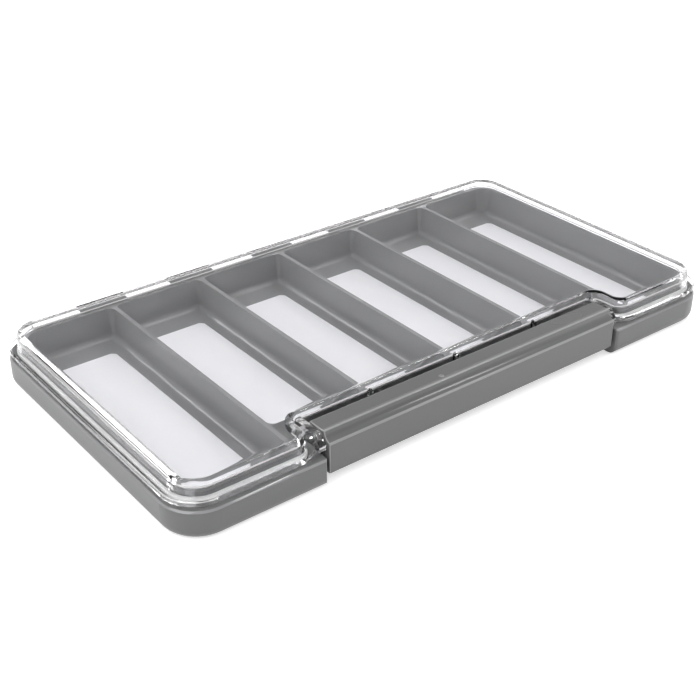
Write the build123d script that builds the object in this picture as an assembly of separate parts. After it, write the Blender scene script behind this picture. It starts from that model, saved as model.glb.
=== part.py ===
from build123d import *
import os
from math import asin, atan2, cos, hypot, radians, sin, sqrt, tan

# Six-bay fly box: a moulded tray, a clear hinged lid with a perimeter seal,
# a full-width front latch bar and a white liner in each bay.
# Frame: +X along the box, +Y towards the hinge, +Z up, origin at the middle
# of the footprint, on the surface that the box stands on. Millimetres.

# ---- tray shell ----
box_length = 190.0        # outer length of tray and lid flange
box_depth = 102.0         # outer depth, front wall to back wall, without hinge
corner_radius = 10.7      # plan corners
tray_height = 8.6         # outer wall, up to the ledge under the lid flange
bottom_round = 3.0        # rounding of the outer bottom edge
ledge_bevel = 0.5         # bevel of the outer top edge
rim_inset = 4.2           # outer wall to the outer face of the raised rim
rim_width = 1.3           # raised rim
rim_rise = 3.6            # raised rim above the ledge

# ---- bays ----
bay_count = 6
divider_width = 1.3       # divider at its top
floor_thick = 2.6
wall_draft = 2.5          # degrees, bay walls
bay_corner = 2.2          # plan corners of a bay at its floor
cove_radius = 1.8         # floor to wall

# ---- liners ----
liner_width = 19.0
liner_thick = 1.2
liner_margin = 9.0        # bay end to liner end
liner_corner = 1.2        # cut corners
liner_gap = 0.1           # all round, in its recess

# ---- front notch for the latch ----
notch_depth = 10.2
notch_cheek = 0.75        # extra wall between notch and end bay
notch_entry_round = 0.8
notch_root_round = 0.6

# ---- lid ----
lid_gap = 1.3             # ledge to flange
flange_inset = 0.4        # tray edge to flange edge
flange_thick = 1.4
flange_bevel = 0.35
lid_top = 16.0            # overall height, closed
lid_wall_inset = 2.5      # tray edge to the foot of the lid wall
lid_draft = 3.0           # degrees
lid_top_round = 1.4
panel_thick = 1.6
skirt_gap = 0.25          # raised rim to the inside of the lid wall
shoulder_width = 0.9      # step inside the lid, over the raised rim
shoulder_gap = 0.7        # raised rim to that step
entry_round_lid = 7.0     # flange corner beside the latch
root_round_lid = 0.5

# ---- seal, on the ledge below the lid wall ----
seal_inset = 2.3          # tray edge to the outer face of the seal
seal_width = 1.8

# ---- hinge ----
knuckle_count = 11        # lid carries both ends
knuckle_gap = 0.25
hinge_margin = 0.4        # hinge end to the start of the corner radius
barrel_radius = 2.0
barrel_out = 0.2          # pin axis behind the back wall
barrel_rise = 0.8         # pin axis above the ledge
barrel_clear = 0.25       # running clearance round a barrel
pin_radius = 0.75
pin_clear_tray = 0.04
pin_clear_lid = 0.08
web_drop = 3.4            # foot of the web below the pin axis

# ---- latch ----
latch_end_gap = 1.2       # latch end to notch side
latch_setback = 0.9       # latch face behind the front wall
latch_back_gap = 0.8      # latch back edge to the notch wall
latch_wall = 1.5
latch_bottom = 3.0
ridge_low = 12.0          # height of the lower ridge
ridge_high = 14.9         # height of the upper ridge
ridge_step = 2.2          # upper ridge behind the lower one
ridge_crown = 0.3         # upper ridge above the top plate
crown_run = 1.4           # rise of the top plate to the upper ridge
scoop = 0.5               # hollow between the ridges
latch_round = 0.45
gate_x = -11.5            # moulding gate mark on the top plate
gate_back = 4.4           # behind the latch face
gate_radius = 0.5
gate_depth = 0.3
hook_thick = 1.6
hook_gap = 0.4            # hook to catch rail
catch_overlap = 1.4       # hook under the catch rail
catch_reach = 4.8         # catch rail out of the notch wall
catch_thick = 2.0
catch_end_gap = 3.0       # catch rail end to notch side
pivot_back = 4.1          # pivot axis behind the latch face
pivot_height = 12.5
pivot_radius = 1.1
pivot_clear = 0.08
pivot_length = 1.6
boss_radius = 1.7
cheek_thick = 1.5         # end webs of the latch

# ---- ears and ribs on the lid ----
ear_gap = 0.3             # latch end to ear
ear_thick = 2.0
ear_setback = 1.2         # ear nose behind the latch face
ear_drop = 0.6            # ear crest below the latch crest
rib_width = 1.0
rib_reach = 1.3
rib_drop = 1.2            # rib top below the lid top

# ---- derived places ----
half_length = box_length / 2
half_depth = box_depth / 2
rim_total = rim_inset + rim_width
rim_top = tray_height + rim_rise
inner_length = box_length - 2 * rim_total
bay_width = (inner_length - (bay_count - 1) * divider_width) / bay_count
bay_pitch = bay_width + divider_width
bay_back = half_depth - rim_total
bay_front_end = -half_depth + rim_total
bay_front_mid = -half_depth + notch_depth + rim_total
notch_wall = -half_depth + notch_depth
notch_half = half_length - rim_total - bay_width - divider_width - rim_total - notch_cheek

flange_z = tray_height + lid_gap
flange_top = flange_z + flange_thick
skirt_inset = rim_inset - skirt_gap
shoulder_inset = skirt_inset + shoulder_width
shoulder_z = rim_top + shoulder_gap
panel_z = lid_top - panel_thick

hinge_y = half_depth + barrel_out
hinge_z = tray_height + barrel_rise
hinge_span = box_length - 2 * corner_radius - 2 * hinge_margin
knuckle_length = (hinge_span - (knuckle_count - 1) * knuckle_gap) / knuckle_count
knuckle_pitch = knuckle_length + knuckle_gap
knuckle_x = [(i - (knuckle_count - 1) / 2) * knuckle_pitch for i in range(knuckle_count)]
lid_knuckle_x = knuckle_x[0::2]
tray_knuckle_x = knuckle_x[1::2]

latch_half = notch_half - latch_end_gap
latch_face = -half_depth + latch_setback
latch_back = notch_wall - latch_back_gap
pivot_y = latch_face + pivot_back
hook_top = latch_bottom + hook_thick
catch_z = hook_top + hook_gap
catch_tip = notch_wall - catch_reach
hook_tip = catch_tip + catch_overlap


def outline(inset, entry_round, root_round):
    """Plan of the box moved in by inset, with the latch notch in its front."""
    side = notch_half + inset
    root = notch_wall + inset
    front = -half_depth + inset
    with BuildSketch() as plan:
        RectangleRounded(box_length - 2 * inset, box_depth - 2 * inset, corner_radius - inset)
        with Locations((0, front)):
            Rectangle(2 * side, 2 * (root - front), mode=Mode.SUBTRACT)
        fillet(plan.vertices().filter_by(lambda v: abs(v.Y - root) < 0.001), root_round + inset)
        if entry_round > inset:
            entry = plan.vertices().filter_by(lambda v: abs(v.Y - front) < 0.001)
            fillet(entry.filter_by(lambda v: abs(abs(v.X) - side) < 0.001), entry_round - inset)
    return plan.sketch


def slab(plan, z0, z1, draft=0.0):
    """Plan raised from z0 to z1; its walls lean in by draft degrees."""
    return extrude(Pos(0, 0, z0) * plan, amount=z1 - z0, taper=draft)


def along_x(profile, x0, x1):
    """Profile drawn in the YZ plane, run from x0 to x1."""
    return Pos(x0, 0, 0) * extrude(Plane.YZ * profile, amount=x1 - x0)


def rod(x0, x1, y, z, radius):
    """Cylinder along X."""
    return along_x(Pos(y, z) * Circle(radius), x0, x1)


def edges_at(solid, z):
    """Edges that lie flat at height z."""
    return solid.edges().filter_by(
        lambda e: abs(e.bounding_box().min.Z - z) < 0.001 and abs(e.bounding_box().max.Z - z) < 0.001
    )


# ---- tray ----
def tray_shell():
    """Outer block of the tray with its notch and raised rim."""
    plan = RectangleRounded(box_length, box_depth, corner_radius)
    block = extrude(plan, amount=tray_height)
    block = fillet(edges_at(block, 0), bottom_round)
    block = chamfer(edges_at(block, tray_height), ledge_bevel)
    keep = slab(outline(0, notch_entry_round, notch_root_round), 0, tray_height)
    block = block & keep
    rim = slab(outline(rim_inset, entry_round_lid, root_round_lid), tray_height, rim_top)
    return block + rim


def bay_front(index):
    """Front end of a bay: the latch notch shortens the middle ones."""
    return bay_front_end if index in (0, bay_count - 1) else bay_front_mid


def channel(width, length):
    """Straight channel along X, width at the rim, with drafted walls."""
    slope = tan(radians(wall_draft))
    foot = width / 2 - (rim_top - floor_thick) * slope
    height = rim_top + 1 - floor_thick
    head = foot + height * slope
    with BuildSketch() as sk:
        with BuildLine():
            Polyline((-foot, 0), (foot, 0), (head, height), (-head, height), close=True)
        make_face()
    return Pos(0, 0, floor_thick) * along_x(sk.sketch, -length / 2, length / 2)


def bay_solid(index):
    """Space of one bay: two channels crossed, coved and rounded in plan."""
    centre = (index - (bay_count - 1) / 2) * bay_pitch
    front = bay_front(index)
    depth = bay_back - front
    outer_side = 1 if index == bay_count - 1 else -1
    space = channel(depth, bay_width + 2) & (Rot(0, 0, 90) * channel(bay_width, depth + 2))
    space = fillet(edges_at(space, floor_thick), cove_radius)
    with BuildSketch() as plan:
        Rectangle(bay_width, depth)
        if index in (0, bay_count - 1):
            fillet(plan.vertices().filter_by(lambda v: v.X * outer_side > 0), corner_radius - rim_total)
            inner = plan.vertices().filter_by(lambda v: abs(v.X * outer_side + bay_width / 2) < 0.001)
            fillet(inner, bay_corner)
        else:
            fillet(plan.vertices(), bay_corner)
    trim = extrude(plan.sketch, amount=rim_top + 2)
    return Pos(centre, (front + bay_back) / 2, 0) * (space & trim)


def liner_place(index):
    """Centre and length of the liner of one bay."""
    centre = (index - (bay_count - 1) / 2) * bay_pitch
    front = bay_front(index)
    length = bay_back - front - 2 * liner_margin
    return centre, (front + bay_back) / 2, length


def liner_solid(index, grow=0.0):
    """Liner of one bay, or its recess when grow is the clearance."""
    x, y, length = liner_place(index)
    plan = Rectangle(liner_width + 2 * grow, length + 2 * grow)
    plan = chamfer(plan.vertices(), liner_corner + grow * (2 - sqrt(2)))
    return Pos(x, y, floor_thick - liner_thick) * extrude(plan, amount=liner_thick)


def web_profile():
    """Barrel with the web that carries it down the back wall."""
    foot_z = hinge_z - web_drop
    reach = hypot(barrel_out, web_drop)
    lean = atan2(-web_drop, -barrel_out)
    angle = lean + (radians(90) - asin(barrel_radius / reach))
    tangent = (hinge_y + barrel_radius * cos(angle), hinge_z + barrel_radius * sin(angle))
    root = half_depth - ledge_bevel
    with BuildSketch() as sk:
        with Locations((hinge_y, hinge_z)):
            Circle(barrel_radius)
        with BuildLine():
            Polyline(
                (root, foot_z),
                (half_depth, foot_z),
                tangent,
                (hinge_y, hinge_z),
                (root, hinge_z),
                close=True,
            )
        make_face()
    return sk.sketch


def catch_rail():
    """Rail in the notch that the latch hook goes under."""
    with BuildSketch() as sk:
        with BuildLine():
            Polyline(
                (notch_wall + rim_width, catch_z),
                (catch_tip, catch_z),
                (catch_tip, catch_z + catch_thick * 0.5),
                (catch_tip + catch_thick * 0.5, catch_z + catch_thick),
                (notch_wall + rim_width, catch_z + catch_thick),
                close=True,
            )
        make_face()
    half = notch_half - catch_end_gap
    return along_x(sk.sketch, -half, half)


def base_tray():
    """Tray with its bays, liner recesses, hinge knuckles and catch rail."""
    tray = tray_shell()
    for index in range(bay_count):
        tray -= bay_solid(index)
        tray -= liner_solid(index, liner_gap)
    for x in lid_knuckle_x:
        half = knuckle_length / 2 + knuckle_gap
        tray -= rod(x - half, x + half, hinge_y, hinge_z, barrel_radius + barrel_clear)
    web = web_profile()
    for x in tray_knuckle_x:
        tray += along_x(web, x - knuckle_length / 2, x + knuckle_length / 2)
    tray += catch_rail()
    tray -= rod(-half_length, half_length, hinge_y, hinge_z, pin_radius + pin_clear_tray)
    return tray


# ---- lid ----
def lid_shell():
    """Flange, wall and top panel of the lid, hollow below."""
    flange = slab(outline(flange_inset, entry_round_lid, root_round_lid), flange_z, flange_top)
    flange = chamfer(edges_at(flange, flange_top), flange_bevel)
    wall = slab(outline(lid_wall_inset, entry_round_lid, root_round_lid), flange_z, lid_top, lid_draft)
    wall = fillet(edges_at(wall, lid_top), lid_top_round)
    skirt_cut = slab(outline(skirt_inset, entry_round_lid, root_round_lid), flange_z - 1, shoulder_z)
    roof_cut = slab(outline(shoulder_inset, entry_round_lid, root_round_lid), shoulder_z - 0.5, panel_z)
    return flange + wall - skirt_cut - roof_cut


def ear():
    """Ear beside the latch that carries its pivot, at +X."""
    nose = latch_face + ear_setback
    crest = ridge_high - ear_drop
    wall = notch_wall + lid_wall_inset + lid_draft * 0.1
    with BuildSketch() as sk:
        with BuildLine():
            Polyline(
                (wall, flange_z),
                (nose, flange_z),
                (nose, ridge_low - ear_drop),
                (nose + ridge_step, crest),
                (latch_back, crest),
                (wall, crest),
                close=True,
            )
        make_face()
        front = sk.vertices().filter_by(lambda v: v.X < latch_back - 0.5 and v.Y > flange_z + 0.5)
        fillet(front, ear_setback)
        with Locations((pivot_y, pivot_height)):
            Circle(pivot_radius + pivot_clear, mode=Mode.SUBTRACT)
    inner = latch_half + ear_gap
    return along_x(sk.sketch, inner, inner + ear_thick)


def lid_rib(x):
    """Small rib on the wall behind the latch."""
    root = notch_wall + lid_wall_inset + rib_width
    tip = notch_wall + lid_wall_inset - rib_reach
    top = lid_top - rib_drop
    with BuildSketch() as sk:
        with BuildLine():
            Polyline((root, flange_z), (tip, flange_z), (tip, top - rib_reach), (root, top), close=True)
        make_face()
    return along_x(sk.sketch, x - rib_width / 2, x + rib_width / 2)


def lid():
    """Clear lid with hinge knuckles, ears and ribs."""
    body = lid_shell()
    for x in tray_knuckle_x:
        half = knuckle_length / 2 + knuckle_gap
        body -= rod(x - half, x + half, hinge_y, hinge_z, barrel_radius + barrel_clear)
    for x in lid_knuckle_x:
        body += rod(x - knuckle_length / 2, x + knuckle_length / 2, hinge_y, hinge_z, barrel_radius)
    body -= rod(-half_length, half_length, hinge_y, hinge_z, pin_radius + pin_clear_lid)
    right = ear()
    body += right
    body += mirror(right, about=Plane.YZ)
    for k in (-1, 0, 1):
        body += lid_rib(k * bay_pitch)
    return body


# ---- seal, pin, latch ----
def seal():
    """Seal strip round the raised rim, between the ledge and the foot of the lid wall."""
    ring = slab(outline(seal_inset, entry_round_lid, root_round_lid), tray_height, flange_z)
    inside = outline(seal_inset + seal_width, entry_round_lid, root_round_lid)
    return ring - slab(inside, tray_height - 1, flange_z + 1)


def hinge_pin():
    """Steel pin through all the knuckles."""
    half = hinge_span / 2
    return rod(-half, half, hinge_y, hinge_z, pin_radius)


def latch_outline():
    """Outer section of the latch: top plate, ridges, face, foot of the hook."""
    crest_y = latch_face + ridge_step
    plate = ridge_high - ridge_crown
    mid = ((crest_y + latch_face) / 2 + scoop, (ridge_high + ridge_low) / 2 - scoop)
    with BuildSketch() as sk:
        with BuildLine():
            Polyline((latch_back, plate), (crest_y + crown_run, plate), (crest_y, ridge_high))
            ThreePointArc((crest_y, ridge_high), mid, (latch_face, ridge_low))
            Polyline(
                (latch_face, ridge_low),
                (latch_face, latch_bottom),
                (hook_tip, latch_bottom),
                (hook_tip, plate - latch_wall),
                (latch_back, plate - latch_wall),
                (latch_back, plate),
            )
        make_face()
        fillet(sk.vertices().filter_by(lambda v: v.X < crest_y + 0.01), latch_round)
    return sk.sketch


def latch_hollow():
    """Space inside the latch: behind the face, above the hook."""
    inner = latch_face + latch_wall
    roof = ridge_high - ridge_crown - latch_wall
    with BuildSketch() as sk:
        with BuildLine():
            Polyline(
                (inner, hook_top),
                (hook_tip + 1, hook_top),
                (hook_tip + 1, roof),
                (inner + ridge_step, roof),
                (inner, ridge_low - latch_wall),
                close=True,
            )
        make_face()
    return sk.sketch


def latch_cheek():
    """End web of the latch with its pivot boss and stub, at +X."""
    back = pivot_y + boss_radius
    with BuildSketch() as sk:
        with BuildLine():
            Polyline(
                (latch_face, hook_top),
                (hook_tip - latch_wall, hook_top),
                (pivot_y - boss_radius, pivot_height - 2 * boss_radius),
                (back, pivot_height),
                (back, ridge_high),
                (latch_face, ridge_high),
                close=True,
            )
        make_face()
        with Locations((pivot_y, pivot_height)):
            Circle(boss_radius)
    web = along_x(sk.sketch & latch_outline(), latch_half - cheek_thick, latch_half)
    return web + rod(latch_half - cheek_thick, latch_half + pivot_length, pivot_y, pivot_height, pivot_radius)


def latch():
    """Latch bar with end webs and pivot stubs."""
    bar = along_x(latch_outline() - latch_hollow(), -latch_half, latch_half)
    right = latch_cheek()
    plate = ridge_high - ridge_crown
    mark = Pos(gate_x, latch_face + gate_back, plate - gate_depth) * Cylinder(
        gate_radius, 2 * gate_depth, align=(Align.CENTER, Align.CENTER, Align.MIN)
    )
    return bar + right + mirror(right, about=Plane.YZ) - mark


def save(shape, name):
    """Write one sub-part."""
    export_step(shape, os.path.join("parts", name + ".step"))


os.makedirs("parts", exist_ok=True)
save(base_tray(), "base_tray")
for n in range(bay_count):
    save(liner_solid(n), "liner_" + str(n + 1))
save(seal(), "rim_seal")
save(hinge_pin(), "hinge_pin")
save(lid(), "lid")
save(latch(), "latch_bar")
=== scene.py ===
"""Looks for the six-bay fly box: finishes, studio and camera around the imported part."""

import logging
import math
from dataclasses import dataclass
from enum import Enum
from typing import Any

import bpy
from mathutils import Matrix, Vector

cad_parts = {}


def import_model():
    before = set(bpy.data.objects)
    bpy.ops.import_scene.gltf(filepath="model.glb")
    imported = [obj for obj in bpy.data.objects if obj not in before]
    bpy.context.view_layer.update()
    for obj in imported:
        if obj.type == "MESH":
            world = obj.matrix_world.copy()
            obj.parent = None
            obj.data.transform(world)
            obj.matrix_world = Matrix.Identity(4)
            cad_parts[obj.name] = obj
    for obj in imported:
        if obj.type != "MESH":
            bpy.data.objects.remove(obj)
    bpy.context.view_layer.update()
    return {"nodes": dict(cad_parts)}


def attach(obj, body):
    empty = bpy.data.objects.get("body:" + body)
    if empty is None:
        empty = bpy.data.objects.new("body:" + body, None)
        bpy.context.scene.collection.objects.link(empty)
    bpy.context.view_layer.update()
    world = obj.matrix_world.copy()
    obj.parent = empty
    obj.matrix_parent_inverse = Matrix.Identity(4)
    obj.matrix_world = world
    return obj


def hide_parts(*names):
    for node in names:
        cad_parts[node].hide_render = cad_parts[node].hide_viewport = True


LOG = logging.getLogger("fly_box")
CLEAR_BOUNCES = 24
GLOSS_BOUNCES = 8
MIDDLE_BAND = (0.3, 0.7)
EVEN = (1.0, 1.0, 1.0)

Colour = tuple[float, float, float]
Place = tuple[float, float, float]
Span = tuple[float, float]
Value = float | bpy.types.NodeSocket


class Socket(Enum):
    """Principled sockets that the finishes set."""

    COLOUR = "Base Color"
    ROUGHNESS = "Roughness"
    METAL = "Metallic"
    IOR = "IOR"
    TRANSMISSION = "Transmission Weight"
    NORMAL = "Normal"
    SPECULAR = "Specular IOR Level"
    GLOW = "Emission Color"
    GLOW_STRENGTH = "Emission Strength"


def feed(tree: bpy.types.NodeTree, value: Value, socket: bpy.types.NodeSocket) -> None:
    """Give an input socket its number, or the output socket that drives it.

    Args:
        tree: Node tree that holds the socket.
        value: A number or an output socket.
        socket: The input socket.
    """
    if isinstance(value, float):
        socket.default_value = value
    else:
        tree.links.new(value, socket)


def calculate(tree: bpy.types.NodeTree, operation: str, *values: Value) -> bpy.types.NodeSocket:
    """Work out one number from others.

    Args:
        tree: Node tree that gets the node.
        operation: Blender's name of the operation.
        *values: Numbers or output sockets, in the order of the node's inputs.

    Returns:
        The output socket with the result.
    """
    node = tree.nodes.new("ShaderNodeMath")
    node.operation = operation
    for into, value in enumerate(values):
        feed(tree, value, node.inputs[into])
    return node.outputs[0]


@dataclass(frozen=True)
class PolishedPaintedLightZone:
    """Polished part of a moulding, painted lighter as painted light: a box, and its mirror image at -x.
    """

    x: Span
    y: Span
    z: Span


class NodeTree:
    """Short way to add and link shader nodes of one material."""

    def __init__(self, name: str) -> None:
        """Start an empty material.

        Args:
            name: Name of the material.
        """
        self.material = bpy.data.materials.new(name)
        self.material.use_nodes = True
        self.tree = self.material.node_tree
        self.tree.nodes.clear()
        output = self.add("ShaderNodeOutputMaterial")
        self.shader = self.add("ShaderNodeBsdfPrincipled")
        self.tree.links.new(self.shader.outputs["BSDF"], output.inputs["Surface"])
        self.place = self.add("ShaderNodeTexCoord").outputs["Object"]

    def add(self, kind: str) -> Any:
        """Add one node of a type."""
        return self.tree.nodes.new(kind)

    def set(self, socket: Socket, value: Any) -> None:
        """Set a socket of the shader to one value."""
        self.shader.inputs[socket.value].default_value = value

    def drive(self, socket: Socket, source: bpy.types.NodeSocket) -> None:
        """Let an output socket drive a socket of the shader."""
        self.tree.links.new(source, self.shader.inputs[socket.value])

    def noise(self, scale: float, detail: float = 2.0, stretch: Place = EVEN) -> bpy.types.NodeSocket:
        """Noise on Object coordinates.

        Args:
            scale: Cycles per metre.
            detail: Octaves.
            stretch: Scale along each axis.

        Returns:
            The output socket with the noise.
        """
        mapping = self.add("ShaderNodeMapping")
        mapping.inputs["Scale"].default_value = stretch
        self.tree.links.new(self.place, mapping.inputs["Vector"])
        texture = self.add("ShaderNodeTexNoise")
        texture.inputs["Scale"].default_value = scale
        texture.inputs["Detail"].default_value = detail
        self.tree.links.new(mapping.outputs["Vector"], texture.inputs["Vector"])
        return texture.outputs["Fac"]

    def ramp(
        self, factor: bpy.types.NodeSocket, low: Colour, high: Colour, span: Span = MIDDLE_BAND
    ) -> bpy.types.NodeSocket:
        """Colour ramp between two colours.

        Args:
            factor: Output socket that drives the ramp.
            low: Colour at the start of the span.
            high: Colour at its end.
            span: Where the ramp starts and ends.

        Returns:
            The output socket with the colour.
        """
        node = self.add("ShaderNodeValToRGB")
        for element, position, colour in zip(node.color_ramp.elements, span, (low, high)):
            element.position = position
            element.color = (*colour, 1.0)
        self.tree.links.new(factor, node.inputs["Fac"])
        return node.outputs["Color"]

    def clouds(self, scale: float, colour: Colour, dim: float) -> None:
        """Give the shader a colour with faint clouds.

        Args:
            scale: Cycles per metre.
            colour: Colour between the clouds.
            dim: Level of the clouds, as a share of that colour.
        """
        dark = tuple(part * dim for part in colour)
        self.drive(Socket.COLOUR, self.ramp(self.noise(scale), dark, colour))

    def uneven(
        self, factor: bpy.types.NodeSocket, roughness: float, less: float, more: float
    ) -> bpy.types.NodeSocket:
        """Vary a roughness over the surface.

        Args:
            factor: Output socket that it varies with.
            roughness: The plain roughness.
            less: How far it falls below that.
            more: How far it rises above that.

        Returns:
            The output socket with the roughness.
        """
        return self.ramp(factor, (roughness - less,) * 3, (roughness + more,) * 3)

    def within(self, painted_light_zone: PolishedPaintedLightZone) -> bpy.types.NodeSocket:
        """Test whether a point lies in a zone or in its mirror image.

        Args:
            painted_light_zone: The zone.

        Returns:
            An output socket that is 1 inside and 0 outside.
        """
        split = self.add("ShaderNodeSeparateXYZ")
        self.tree.links.new(self.place, split.inputs["Vector"])
        side = calculate(self.tree, "ABSOLUTE", split.outputs["X"])
        inside: Value = 1.0
        for along, (low, high) in (
            (side, painted_light_zone.x),
            (split.outputs["Y"], painted_light_zone.y),
            (split.outputs["Z"], painted_light_zone.z),
        ):
            middle, reach = (low + high) / 2.0, (high - low) / 2.0
            near = calculate(self.tree, "COMPARE", along, middle, reach)
            inside = calculate(self.tree, "MULTIPLY", inside, near)
        return inside

    def mix(
        self, factor: bpy.types.NodeSocket, first: bpy.types.NodeSocket, second: bpy.types.NodeSocket
    ) -> bpy.types.NodeSocket:
        """Mix two colours.

        Args:
            factor: Output socket that picks the second one.
            first: Colour where the factor is 0.
            second: Colour where the factor is 1.

        Returns:
            The output socket with the mixed colour.
        """
        node = self.add("ShaderNodeMixRGB")
        for source, into in ((factor, "Fac"), (first, "Color1"), (second, "Color2")):
            self.tree.links.new(source, node.inputs[into])
        return node.outputs["Color"]

    def bump(self, height: bpy.types.NodeSocket, strength: float, depth: float) -> None:
        """Raise the surface by a texture.

        Args:
            height: Output socket with the height.
            strength: Weight of the effect.
            depth: Height in metres.
        """
        node = self.add("ShaderNodeBump")
        node.inputs["Strength"].default_value = strength
        node.inputs["Distance"].default_value = depth
        self.tree.links.new(height, node.inputs["Height"])
        self.drive(Socket.NORMAL, node.outputs["Normal"])


@dataclass(frozen=True)
class TrayPaintedLightZones:
    """Parts of the tray that are polished and painted lighter: the bays and dividers as painted light,
    and the bevel of its outer top edge as a painted highlight line.
    """

    bay_height: Span = (0.00105, 0.01235)
    bays_end: float = 0.0896
    bays_depth: Span = (-0.0354, 0.0456)
    end_bay: Span = (0.05945, 0.08965)
    end_bay_depth: Span = (-0.0456, 0.0456)
    bevel_height: Span = (0.0081, 0.00858)
    side_bevel: Span = (0.0906, 0.096)
    side_reach: float = 0.06
    front_bevel: Span = (-0.052, -0.0469)
    back_bevel: Span = (0.0469, 0.052)
    front_reach: float = 0.1

    def boxes(self) -> tuple[PolishedPaintedLightZone, ...]:
        """Lay out the zones.

        Returns:
            One box for the bays, one for the longer end bays, and three for the bevel.
        """
        along = (-self.front_reach, self.front_reach)
        return (
            PolishedPaintedLightZone((-self.bays_end, self.bays_end), self.bays_depth, self.bay_height),
            PolishedPaintedLightZone(self.end_bay, self.end_bay_depth, self.bay_height),
            PolishedPaintedLightZone(self.side_bevel, (-self.side_reach, self.side_reach), self.bevel_height),
            PolishedPaintedLightZone(along, self.front_bevel, self.bevel_height),
            PolishedPaintedLightZone(along, self.back_bevel, self.bevel_height),
        )


@dataclass(frozen=True)
class LatchPaintedHighlightZones:
    """Painted highlights on the latch: the crests of its two ridges, and the floor of its small mark,
    painted lighter.

    The mark is on one side only. Its mirror image lies inside the plate, where nothing shows.
    """

    reach: float = 0.08
    upper_crest_depth: Span = (-0.0482, -0.0473)
    upper_crest_height: Span = (0.01455, 0.01505)
    lower_crest_depth: Span = (-0.05035, -0.04965)
    lower_crest_height: Span = (0.0116, 0.0122)
    mark_across: Span = (0.0109, 0.0121)
    mark_depth: Span = (-0.0463, -0.0451)
    mark_height: Span = (0.01415, 0.01445)

    def boxes(self) -> tuple[PolishedPaintedLightZone, ...]:
        """Lay out the zones.

        Returns:
            One box for each crest and one for the mark.
        """
        along = (-self.reach, self.reach)
        return (
            PolishedPaintedLightZone(along, self.upper_crest_depth, self.upper_crest_height),
            PolishedPaintedLightZone(along, self.lower_crest_depth, self.lower_crest_height),
            PolishedPaintedLightZone(self.mark_across, self.mark_depth, self.mark_height),
        )


@dataclass(frozen=True)
class MouldedPlastic:
    """Grey moulded plastic: satin with a fine spark-eroded grain, and polished zones painted lighter as
    painted light and painted highlights.
    """

    name: str
    colour: Colour
    roughness: float
    grain_scale: float = 1800.0
    grain_detail: float = 1.0
    grain_depth: float = 0.00003
    grain_strength: float = 0.08
    flow_scale: float = 22.0
    flow_detail: float = 3.0
    flow_stretch: Place = (0.5, 1.0, 1.0)
    flow_change: float = 0.05
    flow_band: Span = (0.35, 0.65)
    smoother: float = 0.04
    rougher: float = 0.05
    polished_painted_light_zones: tuple[PolishedPaintedLightZone, ...] = ()
    # Lighter colour of the zones: painted light and painted highlights.
    painted_light_colour: Colour = (0.27, 0.27, 0.27)
    polished_roughness: float = 0.18

    def build(self) -> bpy.types.Material:
        """Make the material.

        Returns:
            The finished material.
        """
        tree = NodeTree(self.name)
        flow = tree.noise(self.flow_scale, self.flow_detail, self.flow_stretch)
        colour = self.shades(tree, flow, self.colour)
        rough = tree.uneven(flow, self.roughness, self.smoother, self.rougher)
        if self.polished_painted_light_zones:
            # In the zones the colour is painted lighter, which is painted light, and the roughness is
            # lower.
            painted_light_zone = self.painted_light_zone(tree)
            smooth = tree.uneven(flow, self.polished_roughness, self.smoother, self.rougher)
            colour = tree.mix(painted_light_zone, colour, self.shades(tree, flow, self.painted_light_colour))
            rough = tree.mix(painted_light_zone, rough, smooth)
        tree.drive(Socket.COLOUR, colour)
        tree.drive(Socket.ROUGHNESS, rough)
        grain = tree.noise(self.grain_scale, self.grain_detail)
        tree.bump(grain, self.grain_strength, self.grain_depth)
        return tree.material

    def painted_light_zone(self, tree: NodeTree) -> bpy.types.NodeSocket:
        """Join the polished zones, which carry the painted light.

        Args:
            tree: Nodes of the material.

        Returns:
            An output socket that is 1 in any of the zones.
        """
        joined: Value = 0.0
        for painted_light_zone in self.polished_painted_light_zones:
            joined = calculate(tree.tree, "MAXIMUM", joined, tree.within(painted_light_zone))
        return joined

    def shades(self, tree: NodeTree, flow: bpy.types.NodeSocket, colour: Colour) -> bpy.types.NodeSocket:
        """Vary a colour along the flow of the melt.

        Args:
            tree: Nodes of the material.
            flow: Output socket with the noise of the flow.
            colour: The plain colour.

        Returns:
            The output socket with the varied colour.
        """
        dark = tuple(part * (1.0 - self.flow_change) for part in colour)
        light = tuple(part * (1.0 + self.flow_change) for part in colour)
        return tree.ramp(flow, dark, light, self.flow_band)


@dataclass(frozen=True)
class ClearPlastic:
    """Polished clear plastic with a faint violet tint.

    Its index is lower than the 1.5 to 1.6 of a real one, for its looks.
    """

    name: str
    colour: Colour
    index: float = 1.3
    gloss: float = 0.4
    roughness: float = 0.0
    haze_scale: float = 9.0
    haze_level: float = 0.992

    def build(self) -> bpy.types.Material:
        """Make the material.

        Returns:
            The finished material.
        """
        tree = NodeTree(self.name)
        tree.clouds(self.haze_scale, self.colour, self.haze_level)
        tree.set(Socket.ROUGHNESS, self.roughness)
        tree.set(Socket.IOR, self.index)
        tree.set(Socket.SPECULAR, self.gloss)
        tree.set(Socket.TRANSMISSION, 1.0)
        return tree.material


@dataclass(frozen=True)
class SoftSilicone:
    """Milky soft silicone of the seal."""

    name: str
    colour: Colour
    clearness: float = 0.15
    roughness: float = 0.35
    cloud_scale: float = 160.0
    cloud_level: float = 0.96

    def build(self) -> bpy.types.Material:
        """Make the material.

        Returns:
            The finished material.
        """
        tree = NodeTree(self.name)
        tree.clouds(self.cloud_scale, self.colour, self.cloud_level)
        tree.set(Socket.ROUGHNESS, self.roughness)
        tree.set(Socket.TRANSMISSION, self.clearness)
        return tree.material


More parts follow.
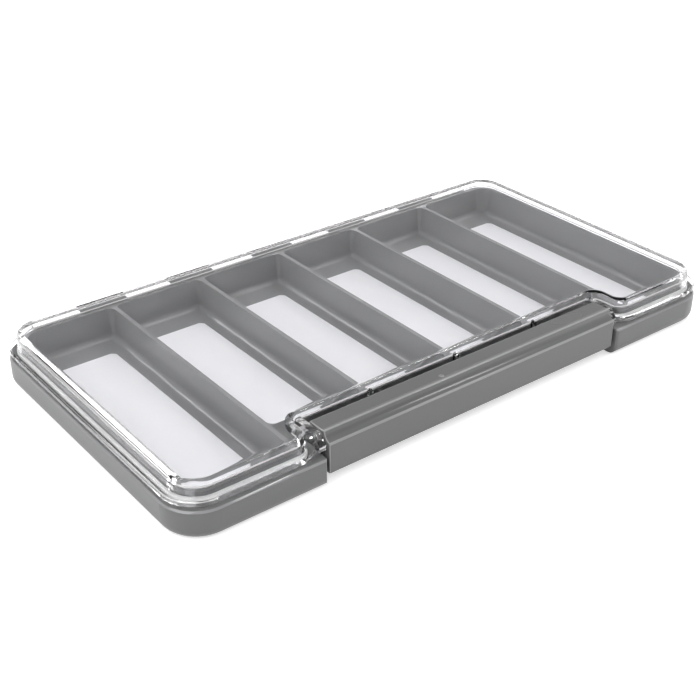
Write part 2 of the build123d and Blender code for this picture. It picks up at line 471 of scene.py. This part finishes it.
@dataclass(frozen=True)
class LinerSheet:
    """Smooth white sheet of a liner."""

    name: str
    colour: Colour
    roughness: float = 0.5
    cloud_scale: float = 40.0
    cloud_level: float = 0.985
    fibre_scale: float = 900.0
    fibre_strength: float = 0.15
    fibre_depth: float = 0.00002

    def build(self) -> bpy.types.Material:
        """Make the material.

        Returns:
            The finished material.
        """
        tree = NodeTree(self.name)
        tree.clouds(self.cloud_scale, self.colour, self.cloud_level)
        tree.set(Socket.ROUGHNESS, self.roughness)
        tree.bump(tree.noise(self.fibre_scale), self.fibre_strength, self.fibre_depth)
        return tree.material


@dataclass(frozen=True)
class DrawnWire:
    """Bright drawn steel wire."""

    name: str
    colour: Colour
    roughness: float = 0.25
    line_scale: float = 1500.0
    line_stretch: Place = (0.02, 1.0, 1.0)
    smoother: float = 0.08
    rougher: float = 0.1

    def build(self) -> bpy.types.Material:
        """Make the material.

        Returns:
            The finished material.
        """
        tree = NodeTree(self.name)
        lines = tree.noise(self.line_scale, stretch=self.line_stretch)
        rough = tree.uneven(lines, self.roughness, self.smoother, self.rougher)
        tree.drive(Socket.ROUGHNESS, rough)
        tree.set(Socket.COLOUR, (*self.colour, 1.0))
        tree.set(Socket.METAL, 1.0)
        return tree.material


@dataclass(frozen=True)
class Finishes:
    """Every finish of the box."""

    tray: MouldedPlastic = MouldedPlastic(
        "grey_moulded_tray",
        (0.131, 0.132, 0.133),
        roughness=0.36,
        # Bays and dividers painted lighter as painted light, and a painted highlight line on the top
        # edge bevel.
        polished_painted_light_zones=TrayPaintedLightZones().boxes(),
        painted_light_colour=(0.270, 0.271, 0.276),
        polished_roughness=0.1,
    )
    latch: MouldedPlastic = MouldedPlastic(
        "grey_moulded_latch",
        (0.122, 0.123, 0.122),
        roughness=0.24,
        # Ridge crests and the mark painted lighter: painted highlights.
        polished_painted_light_zones=LatchPaintedHighlightZones().boxes(),
    )
    # Lighter grey of the small rounds on tray and latch edges: a painted highlight.
    painted_edge_highlight: MouldedPlastic = MouldedPlastic("grey_painted_edge_highlight", (0.28, 0.28, 0.28), roughness=0.22)
    clear: ClearPlastic = ClearPlastic("clear_lid_plastic", (0.993, 0.991, 1.0))
    seal: SoftSilicone = SoftSilicone("milky_seal_silicone", (0.9, 0.9, 0.89))
    liner: LinerSheet = LinerSheet("white_liner_sheet", (0.90, 0.90, 0.92))
    wire: DrawnWire = DrawnWire("drawn_steel_wire", (0.62, 0.62, 0.62))


def dress(obj: bpy.types.Object, material: bpy.types.Material) -> None:
    """Give an object one material."""
    obj.data.materials.clear()
    obj.data.materials.append(material)


@dataclass(frozen=True)
class WeldedMoulding:
    """A moulding shown as one welded skin, with its edges broken where edge_round says so."""

    node: str
    body: str
    name: str
    weld: float = 0.000001
    flat_degrees: float = 0.4
    smooth_degrees: float = 28.0
    edge_round: float = 0.0
    edge_steps: int = 2
    edge_clamp: bool = False
    edge_slot: int = 1
    flat_area: float = 0.00009
    press: float = 0.0

    def build(
        self, source: bpy.types.Object, material: bpy.types.Material, edge: bpy.types.Material
    ) -> bpy.types.Object:
        """Weld a copy of the solid and let it stand for the solid.

        Args:
            source: The solid's own object, left as it is.
            material: Finish of the piece.
            edge: Finish of its broken edges; on the tray and latch, a lighter grey that is a painted
                highlight.

        Returns:
            The welded piece.
        """
        bpy.ops.object.select_all(action="DESELECT")
        source.select_set(True)
        bpy.context.view_layer.objects.active = source
        bpy.ops.object.duplicate(linked=False)
        piece = bpy.context.object
        piece.name = self.name
        self.weld_skin()
        dress(piece, material)
        if self.press > 0.0:
            self.press_top(piece)
        if self.edge_round > 0.0:
            piece.data.materials.append(edge)
            self.break_edges(piece)
        bpy.ops.object.shade_smooth()
        self.mark_edges(piece)
        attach(piece, self.body)
        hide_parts(self.node)
        LOG.info("%s: %d faces", self.name, len(piece.data.polygons))
        return piece

    def weld_skin(self) -> None:
        """Join the loose triangles and clear the flat faces of their diagonals."""
        bpy.ops.object.mode_set(mode="EDIT")
        bpy.ops.mesh.select_all(action="SELECT")
        bpy.ops.mesh.remove_doubles(threshold=self.weld)
        bpy.ops.mesh.dissolve_limited(angle_limit=math.radians(self.flat_degrees))
        bpy.ops.mesh.select_all(action="DESELECT")
        bpy.ops.object.mode_set(mode="OBJECT")

    def press_top(self, piece: bpy.types.Object) -> None:
        """Lower the top face a little, clear of what presses on it.

        Args:
            piece: The welded piece.
        """
        top = max(corner[2] for corner in piece.bound_box)
        bpy.ops.object.mode_set(mode="EDIT")
        bpy.ops.mesh.select_mode(type="VERT")
        bpy.ops.mesh.select_all(action="DESELECT")
        bpy.ops.object.mode_set(mode="OBJECT")
        for vertex in piece.data.vertices:
            vertex.select = vertex.co.z > top - self.press
        bpy.ops.object.mode_set(mode="EDIT")
        bpy.ops.transform.translate(value=(0.0, 0.0, -self.press))
        bpy.ops.mesh.select_all(action="DESELECT")
        bpy.ops.object.mode_set(mode="OBJECT")

    def break_edges(self, piece: bpy.types.Object) -> None:
        """Round the sharp edges a little.

        Args:
            piece: The welded piece.
        """
        bpy.ops.object.modifier_add(type="BEVEL")
        bevel = piece.modifiers[-1]
        bevel.width = self.edge_round
        bevel.segments = self.edge_steps
        bevel.limit_method = "ANGLE"
        bevel.angle_limit = math.radians(self.smooth_degrees)
        bevel.use_clamp_overlap = self.edge_clamp
        # The rounds take the edge finish: on the tray and latch a painted highlight.
        bevel.material = self.edge_slot
        bpy.ops.object.modifier_apply(modifier=bevel.name)

    def mark_edges(self, piece: bpy.types.Object) -> None:
        """Mark the corners, and the outline of each large flat face, as sharp.

        Args:
            piece: The welded piece.
        """
        bpy.ops.object.mode_set(mode="EDIT")
        bpy.ops.mesh.select_mode(type="EDGE")
        bpy.ops.mesh.select_all(action="DESELECT")
        bpy.ops.mesh.edges_select_sharp(sharpness=math.radians(self.smooth_degrees))
        bpy.ops.mesh.mark_sharp()
        bpy.ops.mesh.select_mode(type="FACE")
        bpy.ops.mesh.select_all(action="DESELECT")
        bpy.ops.object.mode_set(mode="OBJECT")
        for face in piece.data.polygons:
            face.select = face.area > self.flat_area
        bpy.ops.object.mode_set(mode="EDIT")
        bpy.ops.mesh.region_to_loop()
        bpy.ops.mesh.mark_sharp()
        bpy.ops.mesh.select_all(action="DESELECT")
        bpy.ops.object.mode_set(mode="OBJECT")


@dataclass
class CadPieces:
    """The solids of the part, each with its finish."""

    nodes: dict[str, bpy.types.Object]
    liner_prefix: str = "liner_"

    def dress_all(self, finishes: Finishes) -> None:
        """Assign the finishes.

        Args:
            finishes: The finishes of the box.
        """
        built = {
            "base_tray": finishes.tray.build(),
            "latch_bar": finishes.latch.build(),
            "lid": finishes.clear.build(),
            "rim_seal": finishes.seal.build(),
            "hinge_pin": finishes.wire.build(),
        }
        # The rounds of the tray and latch edges get a lighter grey: a painted highlight.
        painted_edge_highlight = finishes.painted_edge_highlight.build()
        edges = {**built, "base_tray": painted_edge_highlight, "latch_bar": painted_edge_highlight}
        liner = finishes.liner.build()
        for name, node in sorted(self.nodes.items()):
            material = liner if name.startswith(self.liner_prefix) else built[name]
            dress(node, material)
            LOG.info("dressed %s", name)
        mouldings = (
            WeldedMoulding("lid", "lid", "clear_lid", flat_area=0.00006),
            WeldedMoulding("base_tray", "base", "grey_tray", edge_round=0.00018, edge_clamp=True),
            WeldedMoulding("latch_bar", "latch", "grey_latch", edge_round=0.00025),
            WeldedMoulding("rim_seal", "base", "milky_seal", press=0.00006, edge_round=0.0003),
        )
        for moulding in mouldings:
            moulding.build(self.nodes[moulding.node], built[moulding.node], edges[moulding.node])


@dataclass(frozen=True)
class SoftBox:
    """One rectangular area lamp aimed at the box."""

    name: str
    place: Place
    size: Span
    power: float
    aim: Place = (0.0, 0.0, 0.008)
    mirrored: bool = True

    def build(self) -> None:
        """Add the lamp to the scene."""
        data = bpy.data.lights.new(self.name, "AREA")
        data.shape = "RECTANGLE"
        data.size, data.size_y = self.size
        data.energy = self.power
        lamp = bpy.data.objects.new(self.name, data)
        bpy.context.scene.collection.objects.link(lamp)
        lamp.location = self.place
        lamp.visible_glossy = self.mirrored
        towards = Vector(self.aim) - Vector(self.place)
        lamp.rotation_euler = towards.to_track_quat("-Z", "Y").to_euler()


@dataclass(frozen=True)
class Studio:
    """Pale floor, surroundings white at the horizon and dimmer overhead, soft lamps."""

    lamps: tuple[SoftBox, ...] = (
        SoftBox("key_box", (-0.5, -0.08, 0.6), (0.6, 0.5), 3.3),
        SoftBox("top_box", (0.55, 0.15, 0.95), (0.3, 0.9), 5.8, mirrored=False),
        SoftBox("back_strip", (-0.35, 0.85, 0.85), (1.1, 0.2), 3.4),
        SoftBox("ridge_strip", (0.6, -0.62, 0.8), (0.5, 0.08), 3.0),
    )
    floor_radius: float = 4.0
    floor_sides: int = 96
    floor_roughness: float = 0.9
    floor_colour: Colour = (0.8, 0.8, 0.8)
    floor_lift: float = 0.6
    ambient: float = 0.48
    overhead: float = 0.25
    overhead_through: float = 0.65
    horizon_end: float = 0.16
    overhead_start: float = 0.36
    first_bounce: float = 0.5

    def seen(self, tree: bpy.types.NodeTree, *rays: str) -> bpy.types.NodeSocket:
        """Say where the background itself is seen, and not only its light on the object.

        Args:
            tree: Node tree of the world or the floor.
            *rays: Outputs of Light Path that see it.

        Returns:
            An output socket that is 1 there and 0 for light on the object.
        """
        path = tree.nodes.new("ShaderNodeLightPath")
        direct = calculate(tree, "LESS_THAN", path.outputs["Diffuse Depth"], self.first_bounce)
        every: Value = 0.0
        for ray in rays:
            every = calculate(tree, "MAXIMUM", every, path.outputs[ray])
        return calculate(tree, "MULTIPLY", every, direct)

    def fade(
        self, tree: bpy.types.NodeTree, height: bpy.types.NodeSocket, overhead: float
    ) -> bpy.types.NodeSocket:
        """Level that falls from white at the horizon to a dimmer sky.

        Args:
            tree: Node tree of the world.
            height: Output socket with the height of the direction.
            overhead: Level of the sky.

        Returns:
            The output socket with the level.
        """
        sky = tree.nodes.new("ShaderNodeMapRange")
        sky.interpolation_type = "SMOOTHSTEP"
        sky.inputs["From Min"].default_value = self.horizon_end
        sky.inputs["From Max"].default_value = self.overhead_start
        sky.inputs["To Min"].default_value = 1.0
        sky.inputs["To Max"].default_value = overhead
        tree.links.new(height, sky.inputs["Value"])
        return sky.outputs["Result"]

    def switch(
        self, tree: bpy.types.NodeTree, when: bpy.types.NodeSocket, off: Value, on: Value
    ) -> bpy.types.NodeSocket:
        """Choose between two levels.

        Args:
            tree: Node tree of the world.
            when: Output socket that is 1 for the second level.
            off: First level.
            on: Second level.

        Returns:
            The output socket with the chosen level.
        """
        node = tree.nodes.new("ShaderNodeMapRange")
        for value, into in ((when, "Value"), (off, "To Min"), (on, "To Max")):
            feed(tree, value, node.inputs[into])
        return node.outputs["Result"]

    def build_world(self) -> None:
        """White where it is seen, dimmer overhead in gloss and through plastic, and soft as light."""
        world = bpy.data.worlds.new("studio_white")
        world.use_nodes = True
        bpy.context.scene.world = world
        tree = world.node_tree
        tree.nodes.clear()
        out = tree.nodes.new("ShaderNodeOutputWorld")
        back = tree.nodes.new("ShaderNodeBackground")
        place = tree.nodes.new("ShaderNodeTexCoord")
        split = tree.nodes.new("ShaderNodeSeparateXYZ")
        tree.links.new(place.outputs["Generated"], split.inputs["Vector"])
        height = split.outputs["Z"]
        gloss = self.fade(tree, height, self.overhead)
        through = self.fade(tree, height, self.overhead_through)
        level = self.switch(tree, self.seen(tree, "Is Glossy Ray"), self.ambient, gloss)
        level = self.switch(tree, self.seen(tree, "Is Transmission Ray"), level, through)
        level = self.switch(tree, self.seen(tree, "Is Camera Ray"), level, 1.0)
        back.inputs["Color"].default_value = (1.0, 1.0, 1.0, 1.0)
        tree.links.new(level, back.inputs["Strength"])
        tree.links.new(back.outputs["Background"], out.inputs["Surface"])

    def build_floor(self) -> None:
        """Large pale floor that reads as white and keeps the shadow."""
        bpy.ops.mesh.primitive_circle_add(
            vertices=self.floor_sides, radius=self.floor_radius, fill_type="NGON"
        )
        floor = bpy.context.object
        floor.name = "studio_floor"
        tree = NodeTree("pale_floor")
        tree.set(Socket.COLOUR, (*self.floor_colour, 1.0))
        tree.set(Socket.ROUGHNESS, self.floor_roughness)
        seen = self.seen(tree.tree, "Is Camera Ray", "Is Transmission Ray", "Is Glossy Ray")
        tree.set(Socket.GLOW, (1.0, 1.0, 1.0, 1.0))
        tree.drive(Socket.GLOW_STRENGTH, calculate(tree.tree, "MULTIPLY", seen, self.floor_lift))
        dress(floor, tree.material)

    def build_lamps(self) -> None:
        """Soft boxes: one left, one above on the right, a strip behind and one in front on the right."""
        for lamp in self.lamps:
            lamp.build()

    def build(self) -> None:
        """Build the whole studio."""
        self.build_world()
        self.build_floor()
        self.build_lamps()


@dataclass(frozen=True)
class CameraRig:
    """Camera over the front left corner, looking across the box."""

    azimuth: float = 37.83
    elevation: float = 30.15
    distance: float = 0.34907
    target: Place = (-0.01528, -0.01096, 0.008)
    focal_px: float = 1219.7
    frame_px: float = 700.0
    sensor: float = 36.0
    clip: Span = (0.01, 50.0)

    def build(self) -> None:
        """Create the camera and make it the scene's camera."""
        turn = math.radians(self.azimuth)
        tilt = math.radians(self.elevation)
        level = math.cos(tilt)
        look = Vector((math.sin(turn) * level, math.cos(turn) * level, -math.sin(tilt)))
        data = bpy.data.cameras.new("studio_camera")
        data.sensor_width = self.sensor
        data.lens = self.focal_px / self.frame_px * self.sensor
        data.clip_start, data.clip_end = self.clip
        camera = bpy.data.objects.new("studio_camera", data)
        camera.location = Vector(self.target) - look * self.distance
        camera.rotation_euler = look.to_track_quat("-Z", "Y").to_euler()
        bpy.context.scene.collection.objects.link(camera)
        bpy.context.scene.camera = camera


def main() -> None:
    """Build the scene in order."""
    logging.basicConfig(level=logging.INFO)
    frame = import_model()
    bpy.ops.object.select_all(action="DESELECT")
    bpy.context.scene.view_settings.view_transform = "Standard"
    bpy.context.scene.cycles.max_bounces = CLEAR_BOUNCES
    bpy.context.scene.cycles.transmission_bounces = CLEAR_BOUNCES
    bpy.context.scene.cycles.glossy_bounces = GLOSS_BOUNCES
    CadPieces(frame["nodes"]).dress_all(Finishes())
    Studio().build()
    CameraRig().build()


if __name__ == "__main__":
    main()
